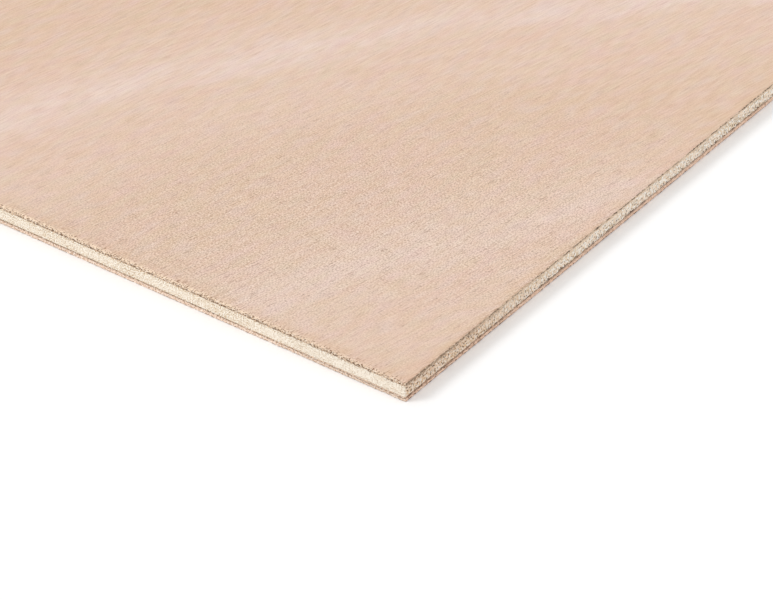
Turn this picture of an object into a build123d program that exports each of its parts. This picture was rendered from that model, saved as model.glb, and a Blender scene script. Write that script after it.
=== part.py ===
"""Thin three-ply plywood sheet, lying flat with its face veneer up.

Three rotary-cut veneers are glued with their grain crossed: the face and the back run
along the sheet, and the thicker core runs across it. The stack is pressed, sanded and
sawn to its trade size, so all three veneers end flush on four square edges.

Frame: the origin is the middle of the underside, +X runs along the sheet and the grain
of its face, +Y across it and +Z up, out of the face. All sizes are in millimetres.
"""

import os

from build123d import *

# Trade size of the sheet
sheet_length = 2440.0
sheet_width = 1220.0

# Veneers from the bottom up, after pressing and sanding: 4 mm in all
back_thickness = 0.95
core_thickness = 2.50
face_thickness = 0.55

# The saw leaves everything square, and sanding and handling take off this much
corner_radius = 0.4
arris_radius = 0.12

# Heights of the two glue lines and of the face
lower_glue_line = back_thickness
upper_glue_line = lower_glue_line + core_thickness
sheet_top = upper_glue_line + face_thickness


def veneer(underside, topside):
    """One veneer at the sheet's full size, between two heights."""
    outline = RectangleRounded(sheet_length, sheet_width, corner_radius)
    return extrude(Plane.XY.offset(underside) * outline, amount=topside - underside)


def sanded(ply, arris_height):
    """An outer veneer, with its free arris rounded all the way around."""
    arris = ply.edges().filter_by_position(Axis.Z, arris_height, arris_height)
    return fillet(arris, radius=arris_radius)


def back_veneer():
    """Long-grain veneer that the sheet lies on."""
    return sanded(veneer(0, lower_glue_line), arris_height=0)


def core_veneer():
    """Thick cross-grain veneer, hidden but for its edges."""
    return veneer(lower_glue_line, upper_glue_line)


def face_veneer():
    """Thin long-grain veneer of the better grade, sanded for show."""
    return sanded(veneer(upper_glue_line, sheet_top), arris_height=sheet_top)


sheet = {
    "back_veneer": back_veneer(),
    "core_veneer": core_veneer(),
    "face_veneer": face_veneer(),
}

os.makedirs("parts", exist_ok=True)
for name, ply in sheet.items():
    ply.label = name
    export_step(ply, f"parts/{name}.step")
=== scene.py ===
import math

import bpy
import numpy as np
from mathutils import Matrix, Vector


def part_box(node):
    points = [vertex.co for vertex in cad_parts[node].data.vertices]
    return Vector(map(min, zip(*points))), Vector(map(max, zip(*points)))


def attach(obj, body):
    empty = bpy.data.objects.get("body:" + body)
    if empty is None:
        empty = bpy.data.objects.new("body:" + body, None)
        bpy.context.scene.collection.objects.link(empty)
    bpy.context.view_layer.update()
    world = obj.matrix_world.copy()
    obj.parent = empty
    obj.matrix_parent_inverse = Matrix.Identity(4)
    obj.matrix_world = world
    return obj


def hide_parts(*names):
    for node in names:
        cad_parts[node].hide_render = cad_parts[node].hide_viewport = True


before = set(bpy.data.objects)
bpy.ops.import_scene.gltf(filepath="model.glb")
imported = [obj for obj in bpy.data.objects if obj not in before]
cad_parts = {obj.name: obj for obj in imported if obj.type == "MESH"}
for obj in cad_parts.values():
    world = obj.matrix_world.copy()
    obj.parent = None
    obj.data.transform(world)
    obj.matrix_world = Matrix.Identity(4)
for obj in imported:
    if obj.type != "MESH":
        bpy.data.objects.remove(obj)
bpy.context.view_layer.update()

# Face veneer
# A pale pinkish hardwood, peeled from the log as one thin sheet, glued down with its grain
# along the plywood and sanded. The saw leaves its fibres ragged on the two ends of the sheet
# and cuts them cleanly along the two sides.

MM = 0.001

face_low, face_high = (np.array(corner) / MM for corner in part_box("face_veneer"))
half_length, half_width = face_high[:2]
half_size = np.array([half_length, half_width])

corner_radius = 0.4
arris_radius = 0.12
grain_turn = math.radians(11)
tear_turn = math.radians(8)


def sheet_outline(close_gap=0.14, close_reach=105.0, gap_growth=0.012, wide_gap=2.4, count=4864,
                  fine_steps=200001):
    """Points around the sawn outline of the sheet and their outward normals, in mm.

    The outline is a rectangle shrunk by the corner radius and pushed out again along its
    normals, whose angle turns a quarter at each corner. Distance runs both ways from the
    near corner, the one at the low end of x and y. The gap between points is close_gap as far
    as close_reach, and grows from there with the distance, up to wide_gap, so the cut is finest
    where it is seen from close by. Fine steps of distance, each divided by its gap, add up to the
    number of points passed, and equal shares of that number give the points their places. The
    count can be halved once for each inner ring of veneer_mesh.
    """
    a, b = half_size - corner_radius
    quarter = math.pi / 2 * corner_radius
    runs = [0, quarter / 2, 2 * a, quarter, 2 * b, quarter, 2 * a, quarter, 2 * b, quarter / 2]
    knots = np.cumsum(runs)
    turns = np.radians([-135, -90, -90, 0, 0, 90, 90, 180, 180, 225])
    core_x = [-a, -a, a, a, a, a, -a, -a, -a, -a]
    core_y = [-b, -b, -b, -b, b, b, b, b, -b, -b]

    distance = np.linspace(0, knots[-1] / 2, fine_steps)
    gap = np.clip(close_gap + gap_growth * (distance - close_reach), close_gap, wide_gap)
    points_passed = np.concatenate([[0], np.cumsum(np.diff(distance) / gap[1:])])
    share = (np.arange(count // 2) + 0.5) / (count // 2)
    way = np.interp(share * points_passed[-1], points_passed, distance)
    way = np.concatenate([way, knots[-1] - way[::-1]])

    turn = np.interp(way, knots, turns)
    normal = np.stack([np.cos(turn), np.sin(turn)], axis=1)
    core = np.stack([np.interp(way, knots, core_x), np.interp(way, knots, core_y)], axis=1)
    return core + corner_radius * normal, normal


outline, outward = sheet_outline()


def chance(i, j, seed):
    """A number from 0 to 1 for each pair of whole numbers, always the same: their hash."""
    mixed = i.astype(np.int64) * 374761393 + j.astype(np.int64) * 668265263 + seed * 974634777
    mixed = mixed & 0xFFFFFFFF
    mixed = ((mixed ^ (mixed >> 13)) * 1274126177) & 0xFFFFFFFF
    return ((mixed ^ (mixed >> 16)) & 0xFFFFFFFF) / 0xFFFFFFFF


def uneven(along, across, seed):
    """Smooth heights from 0 to 1: the hash at whole numbers, blended by smoothstep between them.

    A place in mm divided by a length gives bumps about as wide as that length.
    """
    i, j = np.floor(along), np.floor(across)
    s, t = along - i, across - j
    s, t = s * s * (3 - 2 * s), t * t * (3 - 2 * t)
    low = chance(i, j, seed) * (1 - s) + chance(i + 1, j, seed) * s
    high = chance(i, j + 1, seed) * (1 - s) + chance(i + 1, j + 1, seed) * s
    return low * (1 - t) + high * t


def bake_map(points, corners, quad_rows, profile_way, on_edge, upper, shares, strips=4, margin=0.004,
             strip_margin=0.1):
    """Where each corner of each face lies on the piece's square texture map.

    The underside, the sawn edge and the top share the map's height as the shares say. On the two
    broad sides both directions go as the square root of the distance from the near corner, which
    gives that corner the most pixels. The edge is cut into level strips of as many outline points
    each, and goes up a strip as the profile does. The margins keep the parts and the strips apart.
    """
    under, edge, over = shares
    spot = np.sqrt(np.clip((points[corners, :2] + half_size) / (2 * half_size), 0, 1))
    base, share = np.where(upper, under + edge, 0), np.where(upper, over, under)
    broad_u = margin + spot[:, 0] * (1 - 2 * margin)
    broad_v = base + margin + spot[:, 1] * (share - 2 * margin)

    count = len(outline)
    step = strips / count
    first = np.tile(np.arange(count), quad_rows)
    row = np.repeat(np.arange(quad_rows), count)
    left = first * step % 1
    edge_u = np.stack([left, left + step, left + step, left], 1)
    climb = profile_way[np.stack([row, row, row + 1, row + 1], 1)]
    strip = np.floor(first * step)[:, None]
    edge_v = under + edge / strips * (strip + strip_margin + (1 - 2 * strip_margin) * climb)
    edge_uv = np.stack([margin + edge_u * (1 - 2 * margin), edge_v], 2).reshape(-1, 2)

    uv = np.stack([broad_u, broad_v], 1)
    quad_corners = len(edge_uv)
    uv[:quad_corners] = np.where(on_edge[:quad_corners, None], edge_uv, uv[:quad_corners])
    return uv


def veneer_mesh(name, profile, cut, shares, tear=None, inner_insets=(3, 5, 9, 17, 33, 65, 130)):
    """One veneer as a closed surface, in metres.

    The profile is a list of insets from the outline and heights, carried around the sheet from
    the underside over the sawn edge to the top. A point of it lies on the outline shrunk by the
    inset towards the middle of the sheet. The cut then moves each point of the edge in along its
    normal, and the tear moves each point of the top down. Inside the profile's two ends, each
    ring has half the points of the ring around it, and one flat face fills the last. The first
    material is for the broad sides, the second for the two ends, the third for the two long sides.
    """
    insets, heights = np.array(profile, dtype=float).T
    count, rows = len(outline), len(profile)
    flat = outline[None] * (1 - insets[:, None, None] / half_size)
    height = np.broadcast_to(heights[:, None], (rows, count)).copy()
    depth = cut(flat[..., 0], flat[..., 1], height, np.broadcast_to(outward[None], flat.shape))
    depth = depth * (insets < 2 * arris_radius)[:, None]
    flat = flat - depth[..., None] * outward[None]
    if tear is not None:
        height = height - tear(flat[..., 0], flat[..., 1]) * (heights == heights[-1])[:, None]
    points = [np.concatenate([flat, height[..., None]], axis=2).reshape(-1, 3)]

    here = np.arange(count)
    after = np.roll(here, -1)
    start = np.arange(rows - 1)[:, None] * count
    quads = np.stack([start + here, start + after, start + count + after, start + count + here], 2)
    quads = quads.reshape(-1, 4)
    level_row = (insets[:-1] > 0) & (insets[1:] > 0) & (heights[:-1] == heights[1:])
    quad_on_edge = np.repeat(~level_row, count)

    triangles, caps = [], []
    total = rows * count
    for first, level, upwards in ((0, heights[0], False), ((rows - 1) * count, heights[-1], True)):
        ring, ring_outline = first + here, outline
        for inset in inner_insets:
            ring_outline = ring_outline[::2]
            inner = total + np.arange(len(ring_outline))
            total += len(ring_outline)
            scaled = ring_outline * (1 - inset / half_size)
            points.append(np.column_stack([scaled, np.full(len(scaled), level)]))
            a, b, c = ring[0::2], ring[1::2], np.roll(ring[0::2], -1)
            d, e = inner, np.roll(inner, -1)
            fans = [np.stack([a, b, d], 1), np.stack([b, c, e], 1), np.stack([b, e, d], 1)]
            fans = np.concatenate(fans)
            triangles.append(fans if upwards else fans[:, ::-1])
            ring = inner
        caps.append(ring if upwards else ring[::-1])
    points = np.concatenate(points)
    triangles = np.concatenate(triangles)

    mesh = bpy.data.meshes.new(name)
    faces = quads.tolist() + triangles.tolist() + [cap.tolist() for cap in caps]
    mesh.from_pydata(points * MM, [], faces)
    ends = np.tile(np.abs(outward[:, 0]) > np.abs(outward[:, 1]), rows - 1)
    slots = np.where(quad_on_edge, np.where(ends, 1, 2), 0)
    slots = np.concatenate([slots, np.zeros(len(triangles) + len(caps), dtype=int)])
    mesh.polygons.foreach_set("material_index", slots.astype(np.int32))
    mesh.polygons.foreach_set("use_smooth", slots > 0)

    corners = np.concatenate([quads.ravel(), triangles.ravel(), *caps])
    off_edge = np.zeros(len(corners) - quads.size, dtype=bool)
    on_edge = np.concatenate([np.repeat(quad_on_edge, 4), off_edge])
    upper = points[corners, 2] > (heights[0] + heights[-1]) / 2
    climb = np.concatenate([[0], np.cumsum(np.hypot(np.diff(insets), np.diff(heights)) * ~level_row)])
    uv = bake_map(points, corners, rows - 1, climb / climb[-1], on_edge, upper, shares)
    mesh.uv_layers.new(name="OFBake").data.foreach_set("uv", uv.astype(np.float32).ravel())
    mesh.update()

    piece = bpy.data.objects.new(name, mesh)
    bpy.context.scene.collection.objects.link(piece)
    return piece


def face_cut(x, y, z, normal):
    """Depth of the face's sawn edge: ragged fibre ends on the ends, long clean fibres on the sides.

    Each term is its greatest depth in mm, times uneven heights with bumps of the given mm. The
    squared one is shallow in most places. At a corner, ends and sides blend as the normal turns.
    """
    ends = np.abs(normal[..., 0])
    ragged = 0.2 * uneven(y / 0.32, z / 0.3, 11) ** 2 + 0.06 * uneven(y / 0.9, z / 0.5, 12)
    clean = 0.06 * uneven(x / 1.9, z / 0.14, 13) + 0.03 * uneven(x / 0.3, z / 0.3, 14)
    return ends * ragged + (1 - ends) * clean


def face_tear(x, y, deepest=0.18, shortest=0.15, longest=1.65):
    """Depth of the small tears that the saw leaves in the face, from each end nearly along the grain.

    Each is deepest at the end of the sheet and fades out evenly to its own reach, which is seldom
    long. Depth and reach are uneven heights across the tears.
    """
    v = y + x * math.tan(tear_turn)
    from_end = half_length - np.abs(x)
    reach = shortest + (longest - shortest) * uneven(v / 0.45, v * 0, 21) ** 3
    depth = deepest * uneven(v / 0.25, v * 0, 22)
    return depth * np.clip(1 - from_end / reach, 0, 1)


face_bottom, face_top = face_low[2], face_high[2]
# Shares of the sawn edge's height, turns around the arris, and insets in mm of the rows that the
# tears need on top
face_rows = (0, 0.16, 0.33, 0.5, 0.67, 0.84, 1)
arris_turns = np.radians([35, 65, 90])
tear_insets = (0.25, 0.42, 0.65, 0.95, 1.35, 1.9)
face_profile = (
    [(0, face_bottom + part * (face_top - arris_radius - face_bottom)) for part in face_rows]
    + [(arris_radius * (1 - math.cos(turn)), face_top - arris_radius * (1 - math.sin(turn)))
       for turn in arris_turns]
    + [(inset, face_top) for inset in tear_insets]
)
face_veneer = veneer_mesh("sanded_face_veneer", face_profile, face_cut, shares=(0.04, 0.26, 0.7),
                          tear=face_tear)


def add(tree, kind, inputs, output=0, **settings):
    """Adds one node, its settings and its inputs, linked where they are sockets, and gives back an
    output."""
    node = tree.nodes.new("ShaderNode" + kind)
    for name, value in settings.items():
        setattr(node, name, value)
    for key, value in inputs.items():
        if isinstance(value, bpy.types.NodeSocket):
            tree.links.new(value, node.inputs[key])
        else:
            node.inputs[key].default_value = value
    return node.outputs[output] if len(node.outputs) else None


def srgb(code):
    """A colour written as sRGB hex, turned to the linear values that a shader takes."""
    parts = [int(code[k:k + 2], 16) / 255 for k in (1, 3, 5)]
    return [p / 12.92 if p <= 0.04045 else ((p + 0.055) / 1.055) ** 2.4 for p in parts] + [1.0]


def new_wood(name):
    """A material with an empty tree, and the object's own coordinates in mm."""
    material = bpy.data.materials.new(name)
    material.use_nodes = True
    tree = material.node_tree
    tree.nodes.clear()
    place = add(tree, "TexCoord", {}, output="Object")
    place = add(tree, "VectorMath", {0: place, "Scale": 1 / MM}, operation="SCALE")
    return material, tree, place


def fibres(tree, place, wood, tone, lengths, few, many, strength=1.0, within=None, shift=0.0):
    """Lays fibres of one tone over the wood so far, and gives back the new colour and where they lie.

    They are noise whose spots are as long along x, y and z as the lengths say, in mm. A single
    fibre is too fine to show, so a spot stands for a bundle of them, or for a pore. It begins where
    the noise passes few and has its full strength where it passes many. Within, if given, is a mask
    from 0 to 1 that keeps them to one part of the surface.
    """
    stretched = add(tree, "Mapping", {"Vector": place, "Location": (shift, shift, shift),
                                      "Scale": [1 / length for length in lengths]})
    noise = add(tree, "TexNoise", {"Vector": stretched, "Scale": 1.0, "Detail": 0.0},
                noise_dimensions="3D")
    spots = add(tree, "MapRange", {0: noise, 1: few, 2: many, 3: 0.0, 4: strength})
    if within is not None:
        spots = add(tree, "Math", {0: spots, 1: within}, operation="MULTIPLY")
    wood = add(tree, "Mix", {0: spots, 6: wood, 7: srgb(tone)}, output=2, data_type="RGBA")
    return wood, spots


def ragged_line(tree, place, wood, tone, height, reach, ragged, strength, gap=0.9, thinnest=0.2,
                wave=0.5):
    """Lays a line of one tone along the sawn edge at a height, and gives back the colour and the line.

    Noise as fine as the wave moves it up and down by up to ragged. It is full within about a third
    of its reach above and below, and fades out at its reach. Coarser noise, taken elsewhere, thins
    it out to the thinnest share in places about as long as gap. All are in mm.
    """
    elsewhere = (9, 9, 9)
    z = add(tree, "SeparateXYZ", {0: place}, output="Z")
    stretched = add(tree, "Mapping", {"Vector": place, "Scale": [1 / wave] * 3})
    noise = add(tree, "TexNoise", {"Vector": stretched, "Scale": 1.0, "Detail": 1.0},
                noise_dimensions="3D")
    moved = add(tree, "MapRange", {0: noise, 1: 0.25, 2: 0.75, 3: -ragged - height, 4: ragged - height})
    away = add(tree, "Math", {0: z, 1: moved}, operation="ADD")
    away = add(tree, "Math", {0: away}, operation="ABSOLUTE")
    line = add(tree, "MapRange", {0: away, 1: 0.35 * reach, 2: reach, 3: strength, 4: 0.0})
    coarse = add(tree, "Mapping", {"Vector": place, "Location": elsewhere, "Scale": [1 / gap] * 3})
    whole = add(tree, "TexNoise", {"Vector": coarse, "Scale": 1.0, "Detail": 1.0},
                noise_dimensions="3D")
    whole = add(tree, "MapRange", {0: whole, 1: 0.38, 2: 0.58, 3: thinnest, 4: 1.0})
    line = add(tree, "Math", {0: line, 1: whole}, operation="MULTIPLY")
    wood = add(tree, "Mix", {0: line, 6: wood, 7: srgb(tone)}, output=2, data_type="RGBA")
    return wood, line


def to_corner(tree, place, near, far, at_corner=1.0, beyond=0.0):
    """A value that depends on the distance from the near corner: at_corner up to the distance near,
    beyond from the distance far on, and an even change between them, with distances in mm."""
    local = add(tree, "VectorMath", {0: place, 1: (half_length, half_width, 0)}, operation="ADD")
    distance = add(tree, "VectorMath", {0: local}, output="Value", operation="LENGTH")
    return add(tree, "MapRange", {0: distance, 1: near, 2: far, 3: at_corner, 4: beyond})


def to_rim(tree, place, axis, reach, full, strength=1.0):
    """A value that depends on the distance from the sheet's rim: 0 from the reach inwards, and an
    even rise to the strength at the distance full, with distances in mm. The axis X is for the two
    ends and Y for the two sides."""
    rim = {"X": half_length, "Y": half_width}[axis]
    way = add(tree, "SeparateXYZ", {0: place}, output=axis)
    way = add(tree, "Math", {0: way}, operation="ABSOLUTE")
    return add(tree, "MapRange", {0: way, 1: rim - reach, 2: rim - full, 3: 0.0, 4: strength})


def finish_wood(tree, wood, hollows, depth_mm, roughness, rougher=0.12):
    """The shader of bare sawn or sanded wood: matt, a little rougher in its hollows, which are bump."""
    bump = add(tree, "Bump", {"Strength": 1.0, "Distance": depth_mm * MM, "Height": hollows}, invert=True)
    rough = add(tree, "MapRange", {0: hollows, 1: 0.0, 2: 1.0, 3: roughness, 4: roughness + rougher})
    shader = add(tree, "BsdfPrincipled", {"Base Color": wood, "Roughness": rough, "Normal": bump,
                                          "IOR": 1.45, "Specular IOR Level": 0.3})
    add(tree, "OutputMaterial", {"Surface": shader})


def growth_figure(tree, place, first_band=45.5, band_step=85.0, band_reach=10.5):
    """Where the growth rings show, from 0 to 1: their narrow pale bands, and the tan wood beyond each.

    Both follow contour lines of a ring number. Near the corner it is y + 0.31 x + 0.0025 x squared,
    with x and y in mm from that corner and x no more than 300, moved by up to 14 by noise. Farther
    off it is 1500 times smooth noise whose spots are 1100 by 240 mm, and one blends into the other
    170 to 520 mm off. A band lies wherever the number is first_band and a whole number of band_step
    more, fades out band_reach to each side, and every second one is half as strong. The tan is
    fullest 0.4 of a step beyond each.
    """
    slope, bend = 0.31, 0.0025
    curved_to = 300.0
    wander_length, wander_width = 32, 14.0
    far_length, far_width, far_rings = 1100, 240, 1500.0
    far_from, far_to = 170.0, 520.0
    tan_middle, tan_full, tan_end = 0.4 * band_step, 0.08 * band_step, 0.34 * band_step

    local = add(tree, "VectorMath", {0: place, 1: (half_length, half_width, 0)}, operation="ADD")
    x = add(tree, "SeparateXYZ", {0: local}, output="X")
    y = add(tree, "SeparateXYZ", {0: local}, output="Y")
    x = add(tree, "Math", {0: x, 1: curved_to}, operation="MINIMUM")
    rise = add(tree, "Math", {0: x, 1: bend, 2: slope}, operation="MULTIPLY_ADD")
    near = add(tree, "Math", {0: x, 1: rise, 2: y}, operation="MULTIPLY_ADD")
    wander = add(tree, "TexNoise", {"Vector": place, "Scale": 1 / wander_length, "Detail": 3.0},
                 noise_dimensions="2D")
    near = add(tree, "Math", {0: wander, 1: wander_width, 2: near}, operation="MULTIPLY_ADD")

    long_way = add(tree, "Mapping", {"Vector": place, "Scale": (1 / far_length, 1 / far_width, 1)})
    far = add(tree, "TexNoise", {"Vector": long_way, "Scale": 1.0, "Detail": 2.0}, noise_dimensions="2D")
    far = add(tree, "Math", {0: far, 1: far_rings}, operation="MULTIPLY")

    distance = add(tree, "VectorMath", {0: local}, output="Value", operation="LENGTH")
    away = add(tree, "MapRange", {0: distance, 1: far_from, 2: far_to, 3: 0.0, 4: 1.0},
               interpolation_type="SMOOTHSTEP")
    number = add(tree, "Mix", {0: away, 2: near, 3: far}, data_type="FLOAT")
    number = add(tree, "Math", {0: number, 1: first_band}, operation="SUBTRACT")
    to_band = add(tree, "Math", {0: number, 1: band_step / 2}, operation="PINGPONG")
    bands = add(tree, "MapRange", {0: to_band, 1: 0.0, 2: band_reach, 3: 1.0, 4: 0.0},
                interpolation_type="SMOOTHSTEP")
    every_second = add(tree, "Math", {0: number, 1: band_step}, operation="PINGPONG")
    every_second = add(tree, "MapRange", {0: every_second, 1: 0.0, 2: band_step, 3: 0.5, 4: 1.0})
    bands = add(tree, "Math", {0: bands, 1: every_second}, operation="MULTIPLY")
    beyond = add(tree, "Math", {0: number, 1: band_step, 2: 0.0}, operation="WRAP")
    beyond = add(tree, "Math", {0: beyond, 1: tan_middle}, operation="SUBTRACT")
    beyond = add(tree, "Math", {0: beyond}, operation="ABSOLUTE")
    tan = add(tree, "MapRange", {0: beyond, 1: tan_full, 2: tan_end, 3: 1.0, 4: 0.0},
              interpolation_type="SMOOTHSTEP")
    return bands, tan


# The length in mm of the face's patterns downwards: so long that they don't change with the height
thick = 1e6


def growth_tones(tree, place, grain, wood, tan, pink):
    """Adds the broad tones of the wood: tan and pale rings, pink streaks, and spots 5 mm long that are
    redder, greyer, yellower and cooler, so that it is nowhere one flat colour."""
    bands, tan_rings = growth_figure(tree, place)
    wood, _ = fibres(tree, grain, wood, tan, (70, 26, thick), 0.1, 0.5, 0.45, within=tan_rings,
                     shift=11)
    wood, _ = fibres(tree, grain, wood, pink, (34, 9, thick), 0.42, 0.66, 0.38, shift=31)
    wood, _ = fibres(tree, grain, wood, "#EDD4C9", (30, 12, thick), 0.15, 0.6, 0.74, within=bands,
                     shift=57)
    wood, _ = fibres(tree, grain, wood, "#EED9D0", (44, 4.5, thick), 0.4, 0.66, 0.5, within=bands,
                     shift=58)
    wood, _ = fibres(tree, grain, wood, "#D6B193", (26, 2.2, thick), 0.5, 0.8, 0.08, shift=3)
    spot = (5.0, 2.2, thick)
    wood, _ = fibres(tree, grain, wood, "#E8C0AD", spot, 0.5, 0.8, 0.27, shift=91)
    wood, _ = fibres(tree, grain, wood, "#DCCCB9", spot, 0.5, 0.2, 0.27, shift=91)
    wood, _ = fibres(tree, grain, wood, "#DFC49E", spot, 0.5, 0.8, 0.26, shift=191)
    wood, _ = fibres(tree, grain, wood, "#E5C8C8", spot, 0.5, 0.2, 0.26, shift=191)
    return wood


def open_grain(tree, place, grain, wood):
    """Adds the open grain: pores 0.15 mm wide and 3.4 mm long, fibres 4.2 mm long between them, and
    the short rough ends that sanding raises. Gives back the colour and where the dark ends lie.

    All are crispest in a belt about 40 to 65 mm from the near corner, weaker at the corner's rubbed
    tip, and faint from 108 mm on. There, single fibres are too fine to show, so they are also drawn
    as bundles 0.4 mm wide.
    """
    crisp = to_corner(tree, place, 15.0, 42.0, at_corner=0.3, beyond=1.0)
    crisp = add(tree, "Math", {0: crisp, 1: to_corner(tree, place, 65.0, 108.0)}, operation="MULTIPLY")
    bundles = add(tree, "MapRange", {0: crisp, 3: 0.11, 4: 0.0})
    long_dark = add(tree, "MapRange", {0: crisp, 3: 0.1, 4: 0.21})
    long_pale = add(tree, "MapRange", {0: crisp, 3: 0.12, 4: 0.24})
    pores = add(tree, "MapRange", {0: crisp, 3: 0.2, 4: 0.66})
    rough = add(tree, "MapRange", {0: crisp, 3: 0.1, 4: 0.5})
    bundle, fibre = (4.6, 0.4, thick), (4.2, 0.17, thick)
    pore, rough_end = (3.4, 0.15, thick), (0.42, 0.19, thick)
    wood, _ = fibres(tree, grain, wood, "#A88068", bundle, 0.5, 0.75, bundles, shift=107)
    wood, _ = fibres(tree, grain, wood, "#FFF2E2", bundle, 0.5, 0.25, bundles, shift=107)
    wood, _ = fibres(tree, grain, wood, "#A88068", fibre, 0.5, 0.75, long_dark, shift=7)
    wood, _ = fibres(tree, grain, wood, "#FFF2E2", fibre, 0.5, 0.25, long_pale, shift=7)
    wood, _ = fibres(tree, grain, wood, "#906850", pore, 0.64, 0.8, pores, shift=17)
    wood, pits = fibres(tree, grain, wood, "#8F7460", rough_end, 0.5, 0.78, rough, shift=27)
    wood, _ = fibres(tree, grain, wood, "#FFEBDA", rough_end, 0.5, 0.3, rough, shift=27)
    return wood, pits


def sawn_rim(tree, place, grain, wood):
    """Adds the rim as sawing and handling leave it: browner all around, with pale torn tips, dark
    gaps and dark splinters at the two ends, and a worn brown arris along the two sides, browner by the
    near corner."""
    from_end = to_rim(tree, place, "X", 3.4, 1.4)
    from_side = to_rim(tree, place, "Y", 3.4, 1.4)
    handled = add(tree, "Math", {0: from_end, 1: from_side}, operation="MAXIMUM")
    wood, _ = fibres(tree, grain, wood, "#DDB48C", (3.0, 1.0, thick), 0.2, 0.6, 0.2, within=handled,
                     shift=37)
    torn = to_rim(tree, place, "X", 1.25, 0.4)
    tips = to_corner(tree, place, 15.0, 45.0, at_corner=0.5, beyond=1.0)
    wood, _ = fibres(tree, grain, wood, "#FFE6CA", (0.34, 0.3, thick), 0.34, 0.48, tips, within=torn,
                     shift=47)
    wood, _ = fibres(tree, grain, wood, "#7E5A42", (0.42, 0.3, thick), 0.56, 0.68, 0.9, within=torn,
                     shift=77)
    worn = to_corner(tree, place, 50.0, 75.0, at_corner=0.93, beyond=0.3)
    arris = to_rim(tree, place, "Y", 0.75, 0.15, worn)
    wood, _ = fibres(tree, grain, wood, "#A5805F", (1.4, 0.3, thick), 0.4, 0.62, 0.75, within=arris,
                     shift=87)
    splinters = to_rim(tree, place, "X", 3.0, 0.3)
    wood, _ = fibres(tree, grain, wood, "#86583A", (1.6, 0.22, thick), 0.64, 0.74, 0.9,
                     within=splinters, shift=67)
    return wood


def sanded_hardwood(name, base, tan, pink, wander_length=45, wander_width=1.5):
    """Pale hardwood, peeled and sanded: very matt, with fine open grain that wanders a little from
    side to side, faint broad rings and a browner sawn rim."""
    material, tree, place = new_wood(name)
    wander = add(tree, "TexNoise", {"Vector": place, "Scale": 1 / wander_length, "Detail": 0.0},
                 output="Color", noise_dimensions="2D")
    wander = add(tree, "VectorMath", {0: wander, 1: (0.0, wander_width, 0.0)}, operation="MULTIPLY")
    grain = add(tree, "VectorMath", {0: place, 1: wander}, operation="ADD")
    grain = add(tree, "Mapping", {"Vector": grain, "Rotation": (0, 0, grain_turn)})
    wood = growth_tones(tree, place, grain, srgb(base), tan, pink)
    wood, pits = open_grain(tree, place, grain, wood)
    wood = sawn_rim(tree, place, grain, wood)
    finish_wood(tree, wood, pits, depth_mm=0.012, roughness=0.7)
    return material


def dipped(tree, place, dip):
    """The place, raised by the dip at the near corner, so that what is drawn at it lies lower there.
    From 45 mm off it is level."""
    by_corner = to_corner(tree, place, 8.0, 45.0)
    lift = add(tree, "VectorMath", {0: (0.0, 0.0, dip), "Scale": by_corner}, operation="SCALE")
    return add(tree, "VectorMath", {0: place, 1: lift}, operation="ADD")


def fibre_ends(name, base, dark, light, lines, corner="#FFFFFF"):
    """Sawn across the grain: torn fibre ends 0.3 mm across, pale tufts, dark lines, and dark hollows
    whose colour is partly the end grain's own darker tone and partly painted shade.
    The colour is multiplied by the corner tone towards the near corner, where the sheet is most handled.

    Each line gives its tone, height, reach and raggedness, its strength beyond the corner and at it,
    its thinnest share, and how far it dips at the corner.
    """
    material, tree, place = new_wood(name)
    wood, _ = fibres(tree, place, srgb(base), light, (1.0, 0.36, 0.24), 0.42, 0.62, 0.8)
    wood = add(tree, "Mix", {0: to_corner(tree, place, 8.0, 36.0), 6: wood, 7: srgb(corner)}, output=2,
               data_type="RGBA", blend_type="MULTIPLY")
    # The dark hollows are partly the end grain's own colour and partly painted shade.
    wood, hollows = fibres(tree, place, wood, dark, (1.0, 0.34, 0.24), 0.52, 0.7, 0.8, shift=5)
    for tone, height, reach, ragged, strength, near_strength, thinnest, dip in lines:
        lowered = dipped(tree, place, dip)
        strength = to_corner(tree, place, 20.0, 45.0, at_corner=near_strength, beyond=strength)
        wood, line = ragged_line(tree, lowered, wood, tone, height, reach, ragged, strength,
                                 gap=0.4, thinnest=thinnest)
        hollows = add(tree, "Math", {0: hollows, 1: line}, operation="MAXIMUM")
    finish_wood(tree, wood, hollows, depth_mm=0.06, roughness=0.78)
    return material


def long_fibres(name, base, dark, light, lines, far_fibres):
    """Sawn along the grain: long smooth fibres 0.16 to 0.2 mm thick, in two tones, and dark broken
    lines. The dark fibres are strongest at the near corner, where the sheet is most handled, and
    keep the share far_fibres beyond it.

    Each line gives its tone, height, reach and raggedness, its strength at the corner, and what that
    is multiplied by beyond it: most are fainter there, and one or two are stronger.
    """
    near, far = 18.0, 38.0
    material, tree, place = new_wood(name)
    wood, _ = fibres(tree, place, srgb(base), light, (1.6, 1.0, 0.16), 0.45, 0.7, 0.7)
    worn = to_corner(tree, place, near, far, at_corner=1.0, beyond=far_fibres)
    wood, hollows = fibres(tree, place, wood, dark, (0.7, 1.0, 0.2), 0.5, 0.7, 0.9, within=worn,
                           shift=5)
    thinnest = to_corner(tree, place, near, far, at_corner=0.5, beyond=0.25)
    for tone, height, reach, ragged, strength, far_share in lines:
        strength = to_corner(tree, place, near, far, at_corner=strength, beyond=far_share * strength)
        wood, line = ragged_line(tree, place, wood, tone, height, reach, ragged, strength,
                                 gap=1.1, thinnest=thinnest)
        hollows = add(tree, "Math", {0: hollows, 1: line}, operation="MAXIMUM")
    finish_wood(tree, wood, hollows, depth_mm=0.05, roughness=0.78)
    return material


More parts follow.
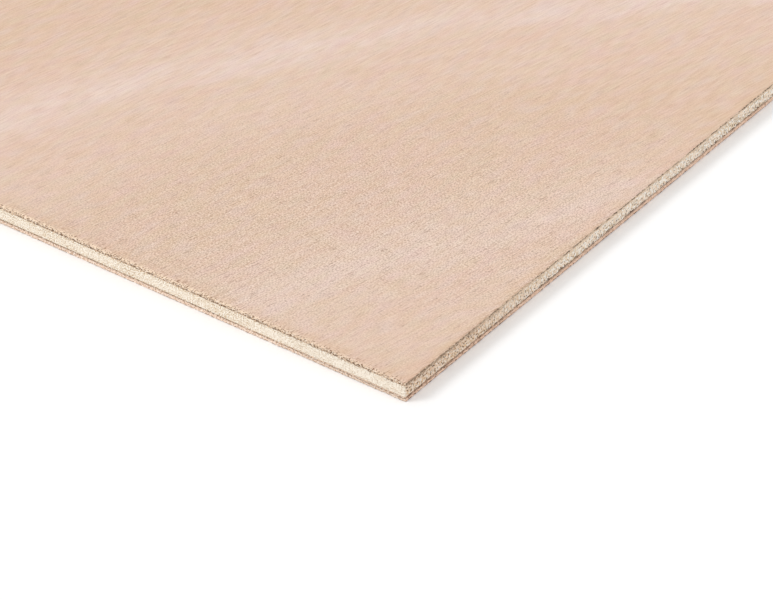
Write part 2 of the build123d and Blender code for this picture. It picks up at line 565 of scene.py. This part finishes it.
# Every piece has a finish for its broad sides, one for its two ends and one for its two long sides
face_finishes = [
    sanded_hardwood("sanded_pale_hardwood", "#E6C9B4", "#DCBA9C", "#E6C1B0"),
    fibre_ends("ragged_face_ends", "#E2C5A8", "#7C5D44", "#FDECDA",
               [("#644A34", face_bottom + 0.18, 0.24, 0.2, 0.89, 0.89, 0.0, 0.0)]),
    long_fibres("sawn_face_sides", "#EBD0B5", "#8A684E", "#F8E2CC",
                [("#4C3626", face_top - 0.06, 0.22, 0.2, 0.4, 0.0),
                 ("#3A281A", face_top - 0.12, 0.16, 0.15, 0.33, 2.7),
                 ("#76583E", face_top - 0.3, 0.3, 0.2, 0.6, 0.1)], 0.4),
]
for finish in face_finishes:
    face_veneer.data.materials.append(finish)
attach(face_veneer, "root")
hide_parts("face_veneer")

# Core veneer
# A thicker, softer and paler veneer, laid with its grain across the sheet, so that its end
# grain shows on the long sides and its smooth long grain on the two ends. Glue soaks into it
# along its lower face and dries as a thin dark line.

core_low, core_high = (np.array(corner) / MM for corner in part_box("core_veneer"))
core_bottom, core_top = core_low[2], core_high[2]


def core_cut(x, y, z, normal, glue_depth=0.12, glue_height=0.14):
    """Depth of the core's sawn edge: smooth long fibres on the ends, pitted end grain on the sides, each
    made as the face's are, and a groove in both along the lower glue line."""
    ends = np.abs(normal[..., 0])
    smooth = 0.03 * uneven(y / 2.5, z / 0.2, 31) + 0.02 * uneven(y / 0.4, z / 0.3, 32)
    pitted = 0.15 * uneven(x / 0.3, z / 0.3, 33) ** 2 + 0.05 * uneven(x / 0.8, z / 0.8, 34)
    glue = glue_depth * np.clip(1 - (z - core_bottom) / glue_height, 0, 1)
    return ends * smooth + (1 - ends) * pitted + glue


core_rows = [0, 0.03, 0.075] + list(np.linspace(0.14, 0.86, 10)) + [0.925, 0.97, 1]
core_profile = [(0, core_bottom + part * (core_top - core_bottom)) for part in core_rows]
core_veneer = veneer_mesh("core_ply", core_profile, core_cut, shares=(0.04, 0.92, 0.04))


def smooth_core_ends(name):
    """Soft pale wood sawn along its grain: even and creamy, with fibres 0.2 mm thick, few specks, and
    a fine grain 0.3 mm across that is weaker by the near corner. The dark glue line along its lower
    edge is weaker and lower there too, and dark gaps show along its upper edge."""
    near, far = 20.0, 45.0
    material, tree, place = new_wood(name)
    by_corner = to_corner(tree, place, near, far)
    wood = add(tree, "Mix", {0: by_corner, 6: srgb("#F4E2C7"), 7: srgb("#F0E4D2")}, output=2,
               data_type="RGBA")
    wood, _ = fibres(tree, place, wood, "#DEC7AA", (1.0, 3.0, 0.2), 0.45, 0.72, 0.65)
    fine = to_corner(tree, place, near, far, at_corner=0.45, beyond=0.9)
    wood, _ = fibres(tree, place, wood, "#B08E68", (1.0, 0.3, 0.2), 0.5, 0.72, fine, shift=55)
    wood, _ = fibres(tree, place, wood, "#FFFFFA", (1.0, 0.3, 0.2), 0.5, 0.28, fine, shift=55)
    wood, _ = fibres(tree, place, wood, "#FBF1E2", (1.0, 1.4, 0.3), 0.45, 0.7, 0.7, shift=15)
    wood, hollows = fibres(tree, place, wood, "#B99B7C", (1.0, 0.3, 0.24), 0.54, 0.76, 0.8, shift=5)
    middle = core_bottom + 1.2
    wood, _ = ragged_line(tree, place, wood, "#FFF6E8", middle, 1.1, 0.3, 0.35, gap=5.0)
    height = add(tree, "SeparateXYZ", {0: place}, output="Z")
    upper = add(tree, "MapRange", {0: height, 1: core_top - 0.35, 2: core_top, 3: 0.0, 4: 1.0})
    upper = add(tree, "Math", {0: upper, 1: by_corner}, operation="MULTIPLY")
    wood, _ = fibres(tree, place, wood, "#7E6046", (1.0, 0.6, 0.4), 0.54, 0.62, 0.9, within=upper,
                     shift=35)
    lowered = dipped(tree, place, 0.5)
    glue = to_corner(tree, place, 8.0, 45.0, at_corner=0.2, beyond=0.8)
    wood, line = ragged_line(tree, lowered, wood, "#4A3322", core_bottom, 0.16, 0.03, glue,
                             gap=4.0, thinnest=0.6)
    hollows = add(tree, "Math", {0: hollows, 1: line}, operation="MAXIMUM")
    finish_wood(tree, wood, hollows, depth_mm=0.05, roughness=0.74)
    return material


def pitted_core_sides(name):
    """Soft pale wood sawn across its grain: cream open fibre ends 0.4 mm across with dark pits
    between them, ochre in places. The pits are deepest low down, near the glue. By the near corner
    they are as deep over the whole height and darkest along the top, more pale ends show among them,
    and the wood is browner, most of all in its upper half."""
    material, tree, place = new_wood(name)
    wood, _ = fibres(tree, place, srgb("#F7E1CA"), "#DFC6A0", (9.0, 1.0, 1.2), 0.52, 0.72, 0.6)
    wood, _ = fibres(tree, place, wood, "#CDB79C", (2.4, 1.0, 0.9), 0.5, 0.72, 0.7, shift=25)
    wood, _ = fibres(tree, place, wood, "#FFFAF1", (0.5, 1.0, 0.5), 0.46, 0.64, 0.95, shift=15)
    by_corner = to_corner(tree, place, 20.0, 50.0)
    height = add(tree, "SeparateXYZ", {0: place}, output="Z")
    upper = add(tree, "MapRange", {0: height, 1: core_bottom + 0.6, 2: core_top - 0.4, 3: 0.0, 4: 1.0})
    brown = add(tree, "Mix", {0: upper, 6: srgb("#F9EFE6"), 7: srgb("#EAD9CA")}, output=2,
                data_type="RGBA")
    wood = add(tree, "Mix", {0: by_corner, 6: wood, 7: brown}, output=2, data_type="RGBA",
               blend_type="MULTIPLY")
    wood, _ = fibres(tree, place, wood, "#FBF3EA", (0.45, 1.0, 0.4), 0.55, 0.7, 0.65,
                     within=by_corner, shift=65)
    rough = add(tree, "MapRange", {0: height, 1: core_bottom + 0.4, 2: core_top - 0.6, 3: 1.0, 4: 0.55})
    rough = add(tree, "Math", {0: rough, 1: by_corner}, operation="MAXIMUM")
    wood, pits = fibres(tree, place, wood, "#6E5440", (0.4, 1.0, 0.4), 0.57, 0.7, 0.95, within=rough,
                        shift=5)
    top = add(tree, "MapRange", {0: height, 1: core_top - 0.7, 2: core_top - 0.1, 3: 0.0, 4: by_corner})
    wood, _ = fibres(tree, place, wood, "#5E4834", (0.8, 1.0, 0.4), 0.58, 0.66, 0.85, within=top,
                     shift=45)
    lowered = dipped(tree, place, 0.2)
    wood, line = ragged_line(tree, lowered, wood, "#583820", core_bottom + 0.15, 0.24, 0.28, 0.92,
                             gap=1.1, thinnest=0.15)
    hollows = add(tree, "Math", {0: pits, 1: line}, operation="MAXIMUM")
    finish_wood(tree, wood, hollows, depth_mm=0.05, roughness=0.78)
    return material


core_finishes = [
    sanded_hardwood("peeled_core_face", "#F1E0C9", "#E6D2B4", "#F3E3D2"),
    smooth_core_ends("smooth_core_ends"),
    pitted_core_sides("pitted_core_sides"),
]
for finish in core_finishes:
    core_veneer.data.materials.append(finish)
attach(core_veneer, "root")
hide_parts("core_veneer")

# Back veneer
# The same wood as the face, a little thicker and less carefully chosen, on the side that the
# sheet lies on. Its lower arris is ragged, and a dark line painted along it is contact shadow
# where the sheet meets the floor.

back_low, back_high = (np.array(corner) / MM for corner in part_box("back_veneer"))
back_bottom, back_top = back_low[2], back_high[2]


def back_cut(x, y, z, normal):
    """Depth of the back's sawn edge, made as the face's is, with other fibres."""
    ends = np.abs(normal[..., 0])
    ragged = 0.14 * uneven(y / 0.35, z / 0.3, 41) ** 2 + 0.05 * uneven(y / 1.1, z / 0.5, 42)
    clean = 0.07 * uneven(x / 2.2, z / 0.16, 43) + 0.03 * uneven(x / 0.4, z / 0.3, 44)
    return ends * ragged + (1 - ends) * clean


back_rows = (0, 0.12, 0.25, 0.38, 0.5, 0.62, 0.75, 0.88, 1)
back_profile = (
    [(arris_radius * (1 - math.cos(turn)), back_bottom + arris_radius * (1 - math.sin(turn)))
     for turn in arris_turns[::-1]]
    + [(0, back_bottom + arris_radius + part * (back_top - back_bottom - arris_radius))
       for part in back_rows]
)
back_veneer = veneer_mesh("back_ply", back_profile, back_cut, shares=(0.7, 0.26, 0.04))
back_finishes = [
    sanded_hardwood("sanded_back", "#E5C9B4", "#DBBC9C", "#E3C0AE"),
    fibre_ends("back_ends_with_painted_contact_shadow", "#F0D2BB", "#B48D70", "#FFF0E2",
               [("#362E20", back_top, 0.15, 0.05, 0.88, 0.6, 0.25, 0.3),
                ("#84603F", back_top - 0.15, 0.2, 0.15, 0.5, 0.4, 0.1, 0.1),
                # The line at the bottom arris is painted contact shadow, where the sheet meets the floor.
                ("#84603F", back_bottom, 0.17, 0.14, 0.85, 0.85, 0.1, 0.0)],
               "#F0F2F2"),
    long_fibres("back_sides_with_painted_contact_shadow", "#F8D2B8", "#78563E", "#FFE6D2",
                [("#6A4428", back_top, 0.34, 0.2, 0.84, 0.44),
                 # The line at the bottom arris is painted contact shadow, where the sheet meets the
                 # floor.
                 ("#7C5A42", back_bottom, 0.24, 0.2, 0.9, 1.1)], 0.65),
]
for finish in back_finishes:
    back_veneer.data.materials.append(finish)
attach(back_veneer, "root")
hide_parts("back_veneer")

# Floor
# A white floor so wide that its end is never seen. It lies a hair below the sheet, so that
# no surface of the two falls together, and glows a little where it is looked at, so that it
# is plain white outside the sheet's shadow.

floor_half = 200.0
floor_level = -0.05 * MM
floor_glow = 0.05

floor_corners = [(-floor_half, -floor_half, floor_level), (floor_half, -floor_half, floor_level),
                 (floor_half, floor_half, floor_level), (-floor_half, floor_half, floor_level)]
floor_mesh = bpy.data.meshes.new("floor")
floor_mesh.from_pydata(floor_corners, [], [(0, 1, 2, 3)])
floor = bpy.data.objects.new("floor", floor_mesh)
bpy.context.scene.collection.objects.link(floor)


def looked_at(tree):
    """1 where a thing is looked at, directly, in a gloss or through glass, and 0 where it only lights
    other things: the greatest of Light Path's three marks for these."""
    by_camera = add(tree, "LightPath", {}, output="Is Camera Ray")
    by_gloss = add(tree, "LightPath", {}, output="Is Glossy Ray")
    through_glass = add(tree, "LightPath", {}, output="Is Transmission Ray")
    either = add(tree, "Math", {0: by_camera, 1: by_gloss}, operation="MAXIMUM")
    return add(tree, "Math", {0: either, 1: through_glass}, operation="MAXIMUM")


white = (1, 1, 1, 1)
white_floor = bpy.data.materials.new("white_floor")
white_floor.use_nodes = True
floor_tree = white_floor.node_tree
floor_tree.nodes.clear()
glow = add(floor_tree, "Math", {0: looked_at(floor_tree), 1: floor_glow}, operation="MULTIPLY")
floor_shader = add(floor_tree, "BsdfPrincipled", {"Base Color": white, "Roughness": 1.0,
                                                  "Specular IOR Level": 0.0, "Emission Color": white,
                                                  "Emission Strength": glow})
add(floor_tree, "OutputMaterial", {"Surface": floor_shader})
floor_mesh.materials.append(white_floor)

# Light
# An even white sky and one soft lamp far off to the left. Together they light a surface that
# faces up so that its colour renders as it is written.

sky_share = 0.8
lamp_height = math.radians(42)
lamp_turn = math.radians(136.3)
lamp_spread = math.radians(18)
lamp_share = (1 - sky_share) / math.sin(lamp_height)

world = bpy.data.worlds.new("white_sky")
bpy.context.scene.world = world
world.use_nodes = True
sky = world.node_tree
sky.nodes.clear()
strength = add(sky, "MapRange", {0: looked_at(sky), 1: 0.0, 2: 1.0, 3: sky_share, 4: 1.0})
sky_light = add(sky, "Background", {"Color": white, "Strength": strength})
add(sky, "OutputWorld", {"Surface": sky_light})

lamp_data = bpy.data.lights.new("lamp", "SUN")
lamp_data.energy = math.pi * lamp_share
lamp_data.angle = lamp_spread
lamp = bpy.data.objects.new("lamp", lamp_data)
lamp.rotation_euler = (math.pi / 2 - lamp_height, 0, lamp_turn + math.pi / 2)
bpy.context.scene.collection.objects.link(lamp)

# Camera
# It stands 0.8 m off the near corner and looks down along the face, with that corner at its
# place in the photo.

frame_width_px, frame_height_px = 773, 600
focal_px = 4516
look_turn = math.radians(36.34)
look_down = math.radians(35.69)
corner_px = (405.5, 384.8)
corner_distance = 0.812

forward = np.array([math.cos(look_down) * math.cos(look_turn), math.cos(look_down) * math.sin(look_turn),
                    -math.sin(look_down)])
right = np.array([math.sin(look_turn), -math.cos(look_turn), 0])
up = np.cross(right, forward)
offset = (corner_px[0] - frame_width_px / 2) * right - (corner_px[1] - frame_height_px / 2) * up
corner = np.array([-half_length, -half_width, face_top]) * MM

camera_data = bpy.data.cameras.new("camera")
camera_data.sensor_width = 36.0
camera_data.lens = focal_px / frame_width_px * camera_data.sensor_width
camera_data.clip_start = 0.05
camera_data.clip_end = 1000.0
camera = bpy.data.objects.new("camera", camera_data)
camera.location = corner - corner_distance * (forward + offset / focal_px)
camera.rotation_euler = (math.pi / 2 - look_down, 0, look_turn - math.pi / 2)
bpy.context.scene.collection.objects.link(camera)
bpy.context.scene.camera = camera
bpy.context.scene.view_settings.view_transform = "Standard"
